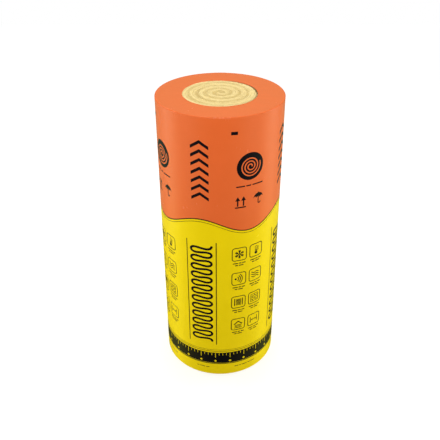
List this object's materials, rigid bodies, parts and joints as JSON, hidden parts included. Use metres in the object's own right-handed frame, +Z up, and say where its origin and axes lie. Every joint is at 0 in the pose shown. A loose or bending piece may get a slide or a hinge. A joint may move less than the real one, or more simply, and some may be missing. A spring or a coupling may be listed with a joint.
{
  "type": "insulation roll",
  "caption": "Upright roll of glass-wool insulation mat wound in a spiral, in a printed film sleeve shrunk in over both ends to a round opening.",
  "frame": {"origin": "middle of the foot, on the plane that the roll stands on", "axes": "+Z up along the roll's axis; -Y is the front, and the film's welded lap runs up the back, at +Y"},
  "size_m": [0.483, 0.4831, 1.2008],
  "materials": {
    "glass_wool": "matt, fibrous, pale yellow",
    "printed_film": "semi-gloss printed film, yellow below and orange above"
  },
  "bodies": {
    "root": {"wool_mat": "glass_wool", "film_sleeve": "printed_film"}
  },
  "joints": []
}
